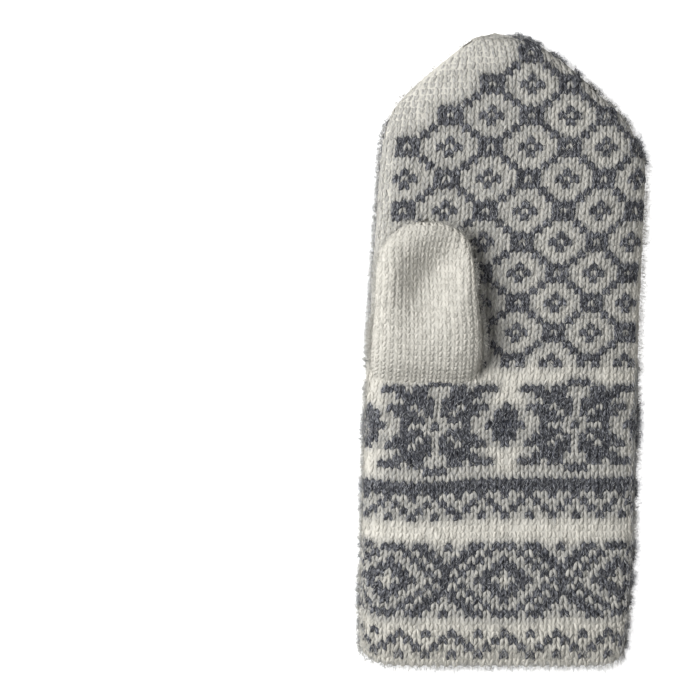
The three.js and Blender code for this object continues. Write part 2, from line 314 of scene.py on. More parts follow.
def hand_sheet():
    """Points of the hand by row and column, the columns counted from the palm's middle one.

    The decreases at the tip take the front's and the back's columns beside the edge stitches, which run
    along both sides to the tip. The second result tells how many they have taken: left, right and back.
    """
    angles = clockwise_angles()
    points, bow = hand_surface(np.linspace(0, len(HAND_SECTIONS) - 1, HAND_STEPS), angles)
    x, y = points[..., 0], points[..., 1]
    level = np.maximum.accumulate(y - bow - ROW_SLANT * x - swell(ROW_WAVES, x, y), axis=0)
    rows = sheet_steps(0, HAND_ROWS)
    heights = np.minimum(np.interp(rows, *ROW_HEIGHTS.T), level.min(axis=1).max() - TIP_GAP)
    rings = np.empty((len(rows), len(angles), 3))
    for j in range(len(angles)):
        for k in range(3):
            rings[:, j, k] = np.interp(heights, level[:, j], points[:, j, k])
    half = COLUMNS / 2
    columns = sheet_steps(-half, half)
    sheet = np.empty((len(rows), len(columns), 3))
    taken = np.zeros((len(rows), 3))
    share = np.clip((rows - CLOSING_ROWS[0]) / (CLOSING_ROWS[1] - CLOSING_ROWS[0]), 0, 1)
    for i, (ring, closing) in enumerate(zip(rings, share)):
        lengths = ring_lengths(ring)
        around = lengths[-1]
        width = np.interp(rows[i], *STITCH_WIDTHS.T)
        start = crossing(ring, lengths, np.interp(heights[i], *MIDDLE_COLUMN.T))
        to_left = start - lengths[np.argmin(ring[:, 0])]
        even = (around / 2 - PALM_EDGE * width) / (half - PALM_EDGE)
        straight = PALM_EDGE * width + (FRONT_EDGE + 1 - PALM_EDGE) * even
        edge = min(even * (1 - closing) + EDGE_WIDTH * width * closing, around / EDGE_PARTS)
        left_seam = min(straight + (to_left + SEAM_PAST - straight) * closing, SEAM_SHARE * around)
        left_taken = max(0, FRONT_EDGE - (left_seam - edge) / width) * closing
        right_taken = min(RIGHT_TAKEN * left_taken, FRONT_EDGE)
        closed_seam = width * (FRONT_EDGE - right_taken) + edge
        right_seam = min(straight + (closed_seam - straight) * closing, SEAM_SHARE * around)
        back = (around - left_seam - right_seam) / 2
        back_taken = max(0, BACK_EDGE - (back - edge) / width) * closing
        taken[i] = left_taken, right_taken, back_taken
        offset = np.empty(len(columns))
        for side, seam, gone in ((-1, left_seam, left_taken), (1, right_seam, right_taken)):
            chosen = columns <= 0 if side < 0 else columns >= 0
            far = np.abs(columns[chosen])
            last = FRONT_EDGE - gone
            inner = min(PALM_EDGE, last)
            knots = np.array([0, inner, last, FRONT_EDGE, FRONT_EDGE + 2, FRONT_EDGE + 2 + back_taken, half])
            inner_place = inner * width if last > PALM_EDGE else seam - edge
            far_places = (seam - edge, seam - edge, seam + edge, seam + edge, seam + back)
            reached = np.array((0, min(inner_place, seam - edge)) + far_places)
            place = np.interp(far, knots + np.arange(len(knots)) * 1e-6, reached)
            lean = STITCH_LEAN * width * far ** 2 * np.clip((last - far) / LEAN_COLUMNS, 0, 1)
            lean = lean * np.clip((rows[i] - LATTICE_START) / LEAN_ROWS, 0, 1)
            offset[chosen] = side * place - lean
        sheet[i] = along_ring(ring, lengths, start + offset)
    return Sheet(sheet, columns[0]), taken


def thumb_sheet():
    """Points of the thumb by row from its foot and column from the middle of its front.

    The second result tells how many columns each half of a row has room for.
    """
    places = np.linspace(0, len(THUMB_SECTIONS) - 1, THUMB_STEPS)
    points = flared(thumb_surface(places, clockwise_angles()))
    climb = ring_lengths(points[:, ROUND_POINTS // 2])
    rows = sheet_steps(0, THUMB_ROWS)
    wanted = rows / THUMB_ROWS * (climb[-1] - THUMB_END)
    at = np.interp(wanted, climb, np.arange(len(places)))
    columns = sheet_steps(-THUMB_HALF, THUMB_HALF)
    sheet = np.empty((len(rows), len(columns), 3))
    halves = np.empty(len(rows))
    for i, place in enumerate(at):
        low = min(int(place), len(places) - 2)
        ring = points[low] + (place - low) * (points[low + 1] - points[low])
        lengths = ring_lengths(ring)
        halves[i] = min(THUMB_HALF, lengths[-1] / 2 / THUMB_STITCH)
        offset = np.clip(columns, -halves[i], halves[i]) * THUMB_STITCH
        sheet[i] = along_ring(ring, lengths, crossing(ring, lengths, ring[ROUND_POINTS // 2, 0]) + offset)
    return Sheet(sheet, columns[0]), halves


def flared(points):
    """The thumb's points with its foot spread over the palm at the cuff's side, as one piece of knitting."""
    low = points[:, :, 1].min(axis=1, keepdims=True)
    high = points[:, :, 1].max(axis=1, keepdims=True)
    off_front = (points[..., 1] - low) / np.maximum(high - low, 1)
    near_front = np.clip(1 - off_front / FLARE_SHARE, 0, 1) ** FLARE_POWER
    above = points[..., 2] - palm_height(points[..., 0], points[..., 1])
    moved = points.copy()
    moved[..., 1] -= FOOT_FLARE * np.exp(-np.maximum(above, 0) / FOOT_FADE) * near_front
    lowest = palm_height(moved[..., 0], moved[..., 1]) - FOOT_SINK
    moved[..., 2] = np.where(near_front > 0, np.maximum(points[..., 2], lowest), points[..., 2])
    return moved


def between(table, i, j, next_j, a, b):
    """Values between four entries of a table, a of the way to the next row and b to the next column."""
    low = table[i, j] * (1 - b) + table[i, next_j] * b
    high = table[i + 1, j] * (1 - b) + table[i + 1, next_j] * b
    return low * (1 - a) + high * a


def sample(sheet, rows, columns):
    """Points of a sheet at any rows and columns, in between its own and a little below its first row."""
    last_row, last_column = sheet.points.shape[0] - INSIDE, sheet.points.shape[1] - INSIDE
    r = np.clip(np.asarray(rows, float) / SHEET_STEP, -BELOW_EDGE / SHEET_STEP, last_row)
    c = np.clip((np.asarray(columns, float) - sheet.first) / SHEET_STEP, 0, last_column)
    i, j = np.maximum(r, 0).astype(int), c.astype(int)
    return between(sheet.points, i, j, j + 1, (r - i)[..., None], (c - j)[..., None])


def at_stitches(field, first, rows, columns):
    """A field of one value a stitch, in between the stitches. The last column meets the first one."""
    r = np.clip(rows, 0, field.shape[0] - INSIDE)
    c = columns - first
    i, j = np.floor(r).astype(int), np.floor(c).astype(int)
    width = field.shape[1]
    return between(field, i, j % width, (j + 1) % width, r - i, c - j)


def unit(vectors):
    return vectors / np.maximum(np.linalg.norm(vectors, axis=-1, keepdims=True), 1e-9)


def upward(sheet, rows, columns):
    """From the rows below to the rows above, on a sheet."""
    return sample(sheet, rows + ROW_REACH, columns) - sample(sheet, rows - ROW_REACH, columns)


def outward(sheet, rows, columns):
    """The outward direction of a sheet at rows and columns."""
    across = sample(sheet, rows, columns + COLUMN_REACH) - sample(sheet, rows, columns - COLUMN_REACH)
    return unit(np.cross(across, upward(sheet, rows, columns)))


# The pattern
# Each function tells whether a stitch is grey, from its row in the band and its distance from the
# middle of the motif.
ZIGZAG_PERIOD = 6
EYE_PERIOD = 14
STAR_PERIOD = 18
LATTICE_PERIOD = 10
HEM_ZIGZAG = 1
ZIGZAG = ((0, 3), (2,), (1,), (0, 3))  # grey stitches by row: distances from the nearest peak
EYE_CLEARING = {0: 0.15, 1: 0.2, 4: 0.45}  # by the distance of its white stitches from the eye's middle
HEM_ROWS = 6
HEM_CLEARING = 0.35  # the stray fibres over the hem, as a share of those elsewhere
EYE_MIDDLE = 12
EYE_REACH = 5  # rows on each side of its middle
EYE_WHITE = (0, 1, 4, 7)  # the distances of its white rings from its middle
UPPER_ZIGZAG = 22
SOLID_LINE = (26, 27)
STAR_MIDDLE = 36
STAR_REACH = 7
LATTICE_START = 46
LATTICE_MIDDLE = 51
# grey stitches of a star by distance from its middle row: distances from its middle column
STAR = {
    0: (0, 4, 7, 8, 9), 1: (2, 3, 4, 8, 9), 2: (1, 3, 4, 5, 8, 9), 3: (1, 2, 4, 5, 6, 9), 4: (1, 2, 3, 4),
    5: (2, 3, 4, 5), 6: (2, 3, 5, 6, 7), 7: (0, 1),
}
LATTICE = {0: (1, 4), 1: (0, 4, 5), 2: (3,), 3: (2,), 4: (0, 1, 5), 5: (1, 4)}
LAST_KNOT = 96  # row of the palm's topmost knot, where both edges of its pattern meet
KNOT_STEP = 5  # columns between the knots along that edge
ROSE_MIDDLE = 63
ROSE_REACH = (14, 7)  # of its petals and of its corners
BUD_MIDDLE = 88
BUD_START = 81
BUD_REACH = 9
LEAF_MIDDLE = (11, 81)
LEAF_SPREAD = (5, 22)
LEAF_RIM = 2.2
# white stitches of a quarter of the rose by rows from its middle: columns from its middle
ROSE = {
    0: (8, 7, 9), 1: (2, 8, 12, 11), 2: (1, 3, 4, 12, 11, 10), 3: (1, 2, 4, 5, 12, 11, 10, 9),
    4: (1, 2, 12, 11, 10, 9, 8, 7), 5: (2, 3, 12, 11, 10, 9, 8), 6: (2,), 7: (0, 4), 8: (0, 1, 4, 5),
    9: (0, 3, 4, 5), 10: (2, 3, 4, 5), 11: (1, 2, 3, 4, 5), 12: (1, 2, 3, 4, 5),
}
BUD = {0: (4, 5), 1: (2, 4, 5), 2: (1, 3, 4), 3: (1, 2, 5), 4: (1, 2), 5: (2, 3), 6: (3,), 7: (0, 1), 8: (0,)}


def folded(column, period):
    """The distance to the nearest multiple of period."""
    column = abs(column) % period
    return min(column, period - column)


def eye(up, column):
    """Diamonds inside one another: white in the middle, a broad white one and a narrow white one."""
    d, up = folded(column, EYE_PERIOD), abs(up)
    reach = d + up
    if reach in EYE_WHITE:
        return d == EYE_PERIOD // 2
    if reach == 5:
        return up == 5
    return reach < 10 or (d, up) == (7, 5)


def eye_clearing(row, column):
    """The share of the grey yarn's stray fibres that lies over a stitch of the eyes."""
    if abs(row - EYE_MIDDLE) > EYE_REACH:
        return 1
    return EYE_CLEARING.get(folded(column, EYE_PERIOD) + abs(row - EYE_MIDDLE), 1)


def palm_lattice(row, column):
    """The lattice, which ends at the tip along two stepped edges through its knots."""
    far = abs(column)
    if row > LAST_KNOT + 1:
        return column >= 0
    if far + row - LAST_KNOT > 1 and column <= 0:
        knot = round(far / KNOT_STEP) * KNOT_STEP
        if abs(far - knot) > 1 or abs(row - (LAST_KNOT - knot)) > 1:
            return False
    return folded(column, LATTICE_PERIOD) in LATTICE[folded(row - LATTICE_MIDDLE, LATTICE_PERIOD)]


def rose(row, column):
    """The back of the hand: a rose of eight petals, a bud above it, two leaves and strokes between."""
    u, v = abs(column), abs(row - ROSE_MIDDLE)
    if u + row >= LAST_KNOT + 3:
        return False
    if u + row >= LAST_KNOT + 1:
        return True
    leaf = (u - LEAF_MIDDLE[0]) ** 2 / LEAF_SPREAD[0] + (row - LEAF_MIDDLE[1]) ** 2 / LEAF_SPREAD[1]
    if leaf < LEAF_RIM:
        return leaf >= 1
    if max(u, v) <= ROSE_REACH[0] and min(u, v) <= ROSE_REACH[1]:
        return u not in ROSE.get(v, ())
    above = abs(row - BUD_MIDDLE)
    if row >= BUD_START:
        return u not in BUD.get(above, ()) if u + above <= BUD_REACH else (row + u) % 2 == 0
    if v == 16 and u == 1 or u == 0:
        return False
    if u > 7 and 8 < v < 12 + u % 4:
        return u % 2 == 0
    return v == 15 and 2 <= u <= 5


def is_grey(row, column):
    """Whether the hand's stitch in that row and column is grey. column is 0 in the palm's middle."""
    far = abs(column)
    d = min(far, COLUMNS // 2 - far)
    for first, shift in ((HEM_ZIGZAG, 0), (UPPER_ZIGZAG, ZIGZAG_PERIOD // 2)):
        if first <= row < first + len(ZIGZAG):
            return folded(column + shift, ZIGZAG_PERIOD) in ZIGZAG[row - first]
    if abs(row - EYE_MIDDLE) <= EYE_REACH:
        return eye(row - EYE_MIDDLE, d)
    if row in SOLID_LINE:
        return True
    if abs(row - STAR_MIDDLE) <= STAR_REACH:
        return folded(column - STAR_PERIOD // 2, STAR_PERIOD) in STAR[abs(row - STAR_MIDDLE)]
    if row < LATTICE_START:
        return False
    if far <= PALM_EDGE:
        return palm_lattice(row, column)
    if d > BACK_EDGE and far < COLUMNS // 2 - BACK_EDGE:
        if column < 0:
            return row < CLOSING_ROWS[1] and far > FRONT_EDGE + 1
        return row > CLOSING_ROWS[0]
    return rose(row, COLUMNS // 2 - far)


def local_grey(grey):
    """The share of grey yarn round each stitch, whose fibres stray over its neighbours."""
    total = np.zeros(grey.shape)
    weights = 0
    for up in (-2, -1, 0, 1, 2):
        for across in (-2, -1, 0, 1, 2):
            weight = math.exp(-up ** 2 - across ** 2)
            rows = np.clip(np.arange(len(grey)) + up, 0, len(grey) - 1)
            total += weight * np.roll(grey[rows], -across, axis=1)
            weights += weight
    return total / weights


# Meshes from arrays
def mesh_piece(name, points, faces, material, lowest, attributes, replaces=()):
    """A smooth piece from points in mm and faces, a list of arrays with one size of face in each.

    Points below the lowest height over the floor are lifted to it.
    """
    mesh = bpy.data.meshes.new(name)
    points[:, 2] = np.maximum(points[:, 2], lowest)
    mesh.from_pydata(points * MM, [], [face for block in faces for face in block.tolist()], shade_flat=False)
    for label, values in attributes.items():
        kind = "FLOAT_VECTOR" if values.ndim == 2 else "FLOAT"
        layer = mesh.attributes.new(label, kind, "POINT")
        layer.data.foreach_set("vector" if values.ndim == 2 else "value", values.astype(np.float32).ravel())
    mesh.validate()
    piece = bpy.data.objects.new(name, mesh)
    bpy.context.collection.objects.link(piece)
    piece.data.materials.append(material)
    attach(piece, "root")
    if replaces:
        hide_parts(*replaces)


# A leg of yarn in its stitch: rows above the stitch's place, columns beside it, sink in mm below
# the legs' common depth, thickness as a share, and the share of the rise that it takes
LEG_PATH = np.array([
    (-0.78, 0.44, 0.45, 0.55, -1.0),
    (-0.26, 0.38, 0.0, 1.0, 0.6),
    (0.34, 0.23, 0.0, 0.96, 1.0),
    (0.94, 0.05, 0.42, 0.4, 1.0),
])
LEG_SIDES = 5
FLAT_TOP = 0.75  # the turn, in sides, that lays one of a leg's sides outwards
STITCH_STRAY = 0.03  # rows and columns by which a leg strays at random
STITCH_SHIFT = 0.12  # mm by which its depth varies
SHIFT_LIMITS = (-0.15, 0.25)
STITCH_SWELL = 0.07  # share by which its thickness varies
YARN_LENGTH = 400  # of the yarn from anywhere in which a leg takes its fibres


def circle(sides, turn=0.0):
    """The cosines and sines of a section's corners, turned by a share of a side."""
    angles = 2 * math.pi * (np.arange(sides) + turn) / sides
    return np.cos(angles), np.sin(angles)


def corner_pairs(sides):
    """The numbers of a section's corners, and of the ones that follow them."""
    first = np.arange(sides)
    return first, (first + 1) % sides


def tube(centre, across, lift, sizes, halves, lengths, turn=0.0):
    """The points round the middle line of a strand, and the places of its fibres.

    sizes are shares of the half width and half thickness, and lengths tell how far along the yarn it lies.
    """
    cos, sin = circle(LEG_SIDES, turn)
    wide, high = halves[0] * cos, halves[1] * sin
    section = wide[:, None] * across[..., None, :] + high[:, None] * lift[..., None, :]
    points = centre[..., None, :] + sizes[..., None, None] * section
    return points, np.stack(np.broadcast_arrays(wide, high, lengths[..., None]), -1)


def stitch_piece(name, sheet, stitches, stray, material, shape):
    """All the legs of some stitches, (row, column) each, as one piece."""
    fullness, variety, rise, shrink, clearness = shape
    above, beside, sink, thickness, lifted = LEG_PATH.T
    rows, columns = np.tile(np.asarray(stitches, float), (2, 1)).T[..., None]
    sides = np.repeat([-1.0, 1.0], len(stitches))[:, None]
    count = len(sides)
    r = rows + above + variety * rng.normal(0, STITCH_STRAY, (count, 1))
    c = columns + sides * beside + variety * rng.normal(0, STITCH_STRAY, (count, 1))
    centre = sample(sheet, r, c)
    normal = outward(sheet, r, columns + 0 * r)
    share = at_stitches(stray, sheet.first, r, c)
    among = np.clip((share - AMONG[0]) / (AMONG[1] - AMONG[0]), 0, 1)
    depth = LEG_DEPTH - rise * among * lifted + sink
    depth = depth + variety * rng.normal(0, STITCH_SHIFT, (count, 1)).clip(*SHIFT_LIMITS)
    centre = centre - normal * depth[..., None]
    along = unit(np.gradient(centre, axis=1))
    across = unit(np.cross(along, normal))
    sizes = fullness * thickness * (1 + variety * rng.normal(0, STITCH_SWELL, (count, 1)))
    sizes = sizes * (1 - shrink * among)
    steps = np.linalg.norm(np.diff(centre, axis=1, prepend=centre[:, :1]), axis=2)
    lengths = np.cumsum(steps, axis=1) + rng.uniform(0, YARN_LENGTH, (count, 1))
    points, yarn = tube(centre, across, np.cross(across, along), sizes, LEG_HALVES, lengths, FLAT_TOP)
    shade = np.broadcast_to(rng.uniform(0, 1, (count, 1, 1)), yarn.shape[:3])
    clear = np.broadcast_to((share * (1 - clearness * among))[..., None], yarn.shape[:3])
    ring = (np.arange(count * len(LEG_PATH)) * LEG_SIDES).reshape(count, -1, 1)
    low, high = ring[:, :-1], ring[:, 1:]
    a, b = corner_pairs(LEG_SIDES)
    quads = np.stack([low + a, low + b, high + b, high + a], -1).reshape(-1, 4)
    faces = [quads, ring[:, 0] + a[::-1], ring[:, -1] + a]
    attributes = {"yarn": yarn.reshape(-1, 3) * MM, "shade": shade.ravel(), "stray": clear.ravel()}
    mesh_piece(name, points.reshape(-1, 3), faces, material, YARN_LOWEST, attributes)


STRAND_LEAN = np.array([0.3, 0.9, 0.2])  # a direction that no strand runs along
STRAND_SHADES = (0.3, 0.7)


def cord_piece(name, path, radius, stray, material):
    """A closed strand of yarn along a ring of points, in mm."""
    along = unit(np.roll(path, -1, axis=0) - np.roll(path, 1, axis=0))
    up = unit(np.cross(along, STRAND_LEAN))
    lengths = ring_lengths(np.concatenate([path, path[:1]]))[:-1]
    points, yarn = tube(path, np.cross(up, along), up, np.ones(len(path)), (radius, radius), lengths)
    here = np.arange(len(path))[:, None] * LEG_SIDES
    there = np.roll(here, -1, axis=0)
    a, b = corner_pairs(LEG_SIDES)
    faces = np.stack([here + a, there + a, there + b, here + b], -1).reshape(-1, 4)
    count = points.shape[0] * LEG_SIDES
    attributes = {"yarn": yarn.reshape(-1, 3) * MM, "shade": rng.uniform(*STRAND_SHADES, count),
                  "stray": np.full(count, stray)}
    mesh_piece(name, points.reshape(-1, 3), [faces], material, YARN_LOWEST, attributes)


def ground_piece(name, sheet, kept, tone, wall, material, replaces):
    """The cloth behind the stitches: a double shell over the kept cells, closed at the tip.

    There is one cell to a stitch, and the last column meets the first one.
    """
    cells = kept.shape
    rows = np.arange(cells[0] + 1) - 0.5
    rows[0], rows[-1] = GROUND_START, cells[0]
    r, c = np.meshgrid(rows, np.arange(cells[1]) + sheet.first - 0.5, indexing="ij")
    turned = np.where(c < sheet.first, c + cells[1], c)
    face = sample(sheet, r, turned)
    normal = outward(sheet, r.clip(ROW_REACH, cells[0] - ROW_REACH), turned)
    thickness = face[..., 2].max(axis=1) - face[..., 2].min(axis=1)
    share = np.clip(thickness / (WALLS * wall), THINNEST, 1)[:, None, None]
    around = np.roll(tone, 1, axis=1)
    corner = np.zeros(r.shape)
    corner[:-1] += (tone + around) / 2
    corner[1:] += (tone + around) / 2
    corner[1:-1] /= 2
    outer = face - normal * (GROUND_DEPTH + GREY_GROUND * corner[..., None]) * share
    inner = face - normal * wall * share
    for shell in (outer, inner):
        shell[-1] = shell[-1].mean(axis=0)
    count = r.size
    number = np.arange(count).reshape(r.shape)
    number[-1] = number[-1, 0]
    number = np.concatenate([number, number[:, :1]], axis=1)
    a, b = number[:-1, :-1], number[:-1, 1:]
    d, e = number[1:, :-1], number[1:, 1:]
    low, tip = kept.copy(), kept.copy()
    low[-1] = False
    tip[:-1] = False
    quads = [np.stack([a, b, e, d], -1)[low], np.stack([d, e, b, a], -1)[low] + count]
    tips = [np.stack([a, b, e], -1)[tip], np.stack([e, b, a], -1)[tip] + count]
    rows_beside = np.pad(kept, ((1, 1), (0, 0)), constant_values=((False, True), (False, False)))
    below, above = rows_beside[:-2], rows_beside[2:]
    before, after = np.roll(kept, 1, axis=1), np.roll(kept, -1, axis=1)
    for first, second, open_side in ((b, a, kept & ~below), (d, e, kept & ~above),
                                     (a, d, kept & ~before), (e, b, kept & ~after)):
        quads.append(np.stack([first, second, second + count, first + count], -1)[open_side])
    points = np.concatenate([outer.reshape(-1, 3), inner.reshape(-1, 3)])
    inside = np.repeat([0.0, 1.0], count)
    place = np.stack([np.tile(c.ravel(), 2), np.tile(r.ravel(), 2), inside], -1)
    quads, tips = np.concatenate(quads), np.concatenate(tips)
    used, renumbered = np.unique(np.concatenate([quads.ravel(), tips.ravel()]), return_inverse=True)
    quads = renumbered[:quads.size].reshape(-1, 4)
    tips = renumbered[quads.size:].reshape(-1, 3)
    attributes = {"grey": np.tile(corner.ravel(), 2)[used], "knit": place[used]}
    mesh_piece(name, points[used], [quads, tips], material, GROUND_LOWEST, attributes, replaces)


# Materials
SPECULAR = 0.15
SHEEN_ROUGHNESS = 0.5
# Noises: scale, detail, roughness, and how fast each axis runs. The yarn runs along the third one.
CLUMPS = (1500, 2, 0.6, (1, 1, 0.5))
STREAKS = (2700, 2, 0.6, (1, 1, 0.2))
LYING_FIBRES = (1400, 3, 0.7, (1, 0.4, 1))
GROUND_FIBRES = (2600, 3, 0.7, (1, 1, 1))
# Ramps: from, to, and the values there where they aren't 0 and 1
DARK_CLUMPS = (0.52, 0.38)
LIGHT_CLUMPS = (0.54, 0.7, 0.0, 0.6)
LIGHT_STREAKS = (0.54, 0.64, 0.0, 0.8)
LEG_SHADES = (0, 1, 0.9, 1.1)
STRAY_REACH = (0.0, 0.25)
STRAY_PATCHES = (0.34, 0.66, 0.4, 1.6)
GROUND_SHADOWS = (0.35, 0.7, 0.35, 0.0)
PURL_SHADOWS = (0.2, 0.8, 0.55, 0.0)
# Bumps: strength, and distance in metres
YARN_BUMP = (0.6, 0.0002)
GROUND_BUMP = (0.6, 0.0005)
PURL = {"Scale": 0.314, "Distortion": 1.6, "Detail": 2, "Detail Scale": 2.2}  # bands across the columns


def add_node(tree, kind, inputs=None, **settings):
    """A shader node. Each of its inputs is given a value, or linked from another node's output."""
    node = tree.nodes.new(kind)
    for label, value in settings.items():
        setattr(node, label, value)
    for label, value in (inputs or {}).items():
        if isinstance(value, bpy.types.NodeSocket):
            tree.links.new(value, node.inputs[label])
        else:
            node.inputs[label].default_value = value
    return node


def noise(tree, vector, kind):
    scale, detail, roughness, axes = kind
    run = add_node(tree, "ShaderNodeMapping", {"Vector": vector, "Scale": axes}).outputs["Vector"]
    inputs = {"Vector": run, "Scale": scale, "Detail": detail, "Roughness": roughness}
    return add_node(tree, "ShaderNodeTexNoise", inputs).outputs["Fac"]


def ramp(tree, value, span, kind="LINEAR"):
    low, high, to_low, to_high = span if len(span) == 4 else span + (0.0, 1.0)
    inputs = {"Value": value, "From Min": low, "From Max": high, "To Min": to_low, "To Max": to_high}
    return add_node(tree, "ShaderNodeMapRange", inputs, interpolation_type=kind).outputs["Result"]


def mixed(tree, factor, first, second):
    """A colour between two. The node's colours are its inputs 6 and 7 and its output 2."""
    inputs = {"Factor": factor, 6: first, 7: second}
    return add_node(tree, "ShaderNodeMix", inputs, data_type="RGBA").outputs[2]


def computed(tree, operation, first, second):
    return add_node(tree, "ShaderNodeMath", {0: first, 1: second}, operation=operation).outputs[0]


def attribute(tree, name, output="Fac"):
    node = add_node(tree, "ShaderNodeAttribute", attribute_type="GEOMETRY", attribute_name=name)
    return node.outputs[output]


def object_place(tree):
    return add_node(tree, "ShaderNodeTexCoord").outputs["Object"]


def principled(name, roughness, sheen, tint):
    """A material, its node tree and its shader."""
    material = bpy.data.materials.new(name)
    material.use_nodes = True
    shader = material.node_tree.nodes["Principled BSDF"]
    for label, value in (("Roughness", roughness), ("Specular IOR Level", SPECULAR), ("Sheen Weight", sheen),
                         ("Sheen Roughness", SHEEN_ROUGHNESS), ("Sheen Tint", tint)):
        shader.inputs[label].default_value = value
    return material, material.node_tree, shader


def bump(tree, height, shader, kind):
    node = add_node(tree, "ShaderNodeBump", {"Strength": kind[0], "Distance": kind[1], "Height": height})
    tree.links.new(node.outputs["Normal"], shader.inputs["Normal"])


def new_wool_group():
    """Heathered yarn: clumps of light and dark fibre, streaks along it, and strays of the other yarn."""
    group = bpy.data.node_groups.new("wool_yarn", "ShaderNodeTree")
    for label, kind in (("Yarn", "Vector"), ("Shade", "Float"), ("Stray", "Float"), ("Colour", "Color"),
                        ("Light Fibre", "Color"), ("Dark Fibre", "Color"), ("Stray Fibre", "Color"),
                        ("Stray Cover", "Float")):
        group.interface.new_socket(label, in_out="INPUT", socket_type="NodeSocket" + kind)
    for label, kind in (("Colour", "Color"), ("Height", "Float")):
        group.interface.new_socket(label, in_out="OUTPUT", socket_type="NodeSocket" + kind)
    given = group.nodes.new("NodeGroupInput").outputs
    out = group.nodes.new("NodeGroupOutput").inputs
    clumps, streaks = (noise(group, given["Yarn"], kind) for kind in (CLUMPS, STREAKS))
    colour = mixed(group, ramp(group, clumps, DARK_CLUMPS), given["Colour"], given["Dark Fibre"])
    colour = mixed(group, ramp(group, clumps, LIGHT_CLUMPS), colour, given["Light Fibre"])
    colour = mixed(group, ramp(group, streaks, LIGHT_STREAKS), colour, given["Light Fibre"])
    shades = {"Color": colour, "Value": ramp(group, given["Shade"], LEG_SHADES)}
    shaded = add_node(group, "ShaderNodeHueSaturation", shades).outputs["Color"]
    lying = noise(group, object_place(group), LYING_FIBRES)
    reach = ramp(group, given["Stray"], STRAY_REACH, "SMOOTHSTEP")
    cover = computed(group, "MULTIPLY", reach, given["Stray Cover"])
    cover = computed(group, "MULTIPLY", cover, ramp(group, lying, STRAY_PATCHES))
    group.links.new(mixed(group, cover, shaded, given["Stray Fibre"]), out["Colour"])
    group.links.new(streaks, out["Height"])
    return group


def yarn_material(name, colour, light, dark, stray, cover, sheen):
    material, tree, shader = principled(name, roughness=0.95, sheen=sheen, tint=light)
    inputs = {"Yarn": attribute(tree, "yarn", "Vector"), "Shade": attribute(tree, "shade"),
              "Stray": attribute(tree, "stray"), "Colour": colour, "Light Fibre": light,
              "Dark Fibre": dark, "Stray Fibre": stray, "Stray Cover": cover}
    wool = add_node(tree, "ShaderNodeGroup", inputs, node_tree=wool_group).outputs
    tree.links.new(wool["Colour"], shader.inputs["Base Color"])
    bump(tree, wool["Height"], shader, YARN_BUMP)
    return material


def cloth_material(name, white, grey, shadow):
    """The knitting behind the stitches: shadow between them outside, and purl bumps inside."""
    material, tree, shader = principled(name, roughness=1.0, sheen=0.1, tint=white)
    fibres = noise(tree, object_place(tree), GROUND_FIBRES)
    knit = attribute(tree, "knit", "Vector")
    inner = add_node(tree, "ShaderNodeSeparateXYZ", {"Vector": knit}).outputs["Z"]
    waves = add_node(tree, "ShaderNodeTexWave", {"Vector": knit, **PURL}, bands_direction="Y")
    purl = waves.outputs["Fac"]
    # The colour of the painted shadow between the stitches outside and in the purl troughs inside
    painted_shadow = tuple(v * shadow for v in white[:3]) + (1,)
    colour = mixed(tree, attribute(tree, "grey"), white, grey)
    colour = mixed(tree, ramp(tree, fibres, GROUND_SHADOWS), colour, painted_shadow)
    inside = computed(tree, "MULTIPLY", inner, ramp(tree, purl, PURL_SHADOWS))
    tree.links.new(mixed(tree, inside, colour, painted_shadow), shader.inputs["Base Color"])
    height = computed(tree, "ADD", fibres, computed(tree, "MULTIPLY", inner, purl))
    bump(tree, height, shader, GROUND_BUMP)
    return material


# Loose fibres
FUZZ_SIDES = 3
FIBRE_DEPTH = 0.6  # of a fibre's root below the knitting's outer face
FIBRE_BEND = 0.25  # how much it bends sideways at random
FIBRE_LIFTS = (0.4, 0.1)  # how far its middle and its end are lifted off the knitting
FIBRE_REACH = 0.95  # the share of its length that it reaches
FIBRE_DROOP = 0.15  # how much of its lean it loses towards its end
LEG_SLOPE = 0.36  # how far a leg of a stitch leans, for the fibres that follow it
OFF_NORMAL = 0.01  # keeps the two directions that a section is made from apart


def fuzz_of(sheet, roots, kind):
    """Loose fibres and wisps of them, as thin closed spindles.

    kind is (lengths, lean, radius, follow, tones): their lengths, how far they stand off the knitting, how
    thick they are, how much they follow the legs of the stitches, and how light they are.
    """
    lengths, lean, radius, follow, tones = kind
    count = len(roots)
    r = roots[:, 0] + rng.uniform(-0.5, 0.5, count)
    c = roots[:, 1] + rng.uniform(-0.5, 0.5, count)
    root = sample(sheet, r, c)
    normal = outward(sheet, r, c)
    up = unit(upward(sheet, r, c))
    across = np.cross(up, normal)
    side = rng.choice([-1.0, 1.0], (count, 1))
    random = rng.normal(0, 1, (count, 3)) + follow * (up + LEG_SLOPE * side * across)
    flat = unit(random - (random * normal).sum(1, keepdims=True) * normal)
    other = np.cross(normal, flat)
    tilt = rng.uniform(*lean, (count, 1)) ** 2
    length = lengths[0] + (lengths[1] - lengths[0]) * rng.uniform(0, 1, (count, 1)) ** 2
    bend = rng.normal(0, FIBRE_BEND, (count, 1))
    start = root - normal * FIBRE_DEPTH
    middle = start + length * 0.5 * unit(flat + tilt * normal + bend * other) + normal * FIBRE_LIFTS[0]
    run = unit(flat + tilt * normal) * FIBRE_REACH - FIBRE_DROOP * tilt * normal
    end = start + length * run + normal * FIBRE_LIFTS[1]
    side = unit(np.cross(end - start, normal + OFF_NORMAL))
    top = unit(np.cross(side, end - start))
    cos, sin = circle(FUZZ_SIDES)
    belt = middle[:, None] + radius * (cos[:, None] * side[:, None] + sin[:, None] * top[:, None])
    points = np.concatenate([start[:, None], belt, end[:, None]], axis=1)
    return points, tones[0] + (tones[1] - tones[0]) * rng.uniform(0, 1, count) ** 2


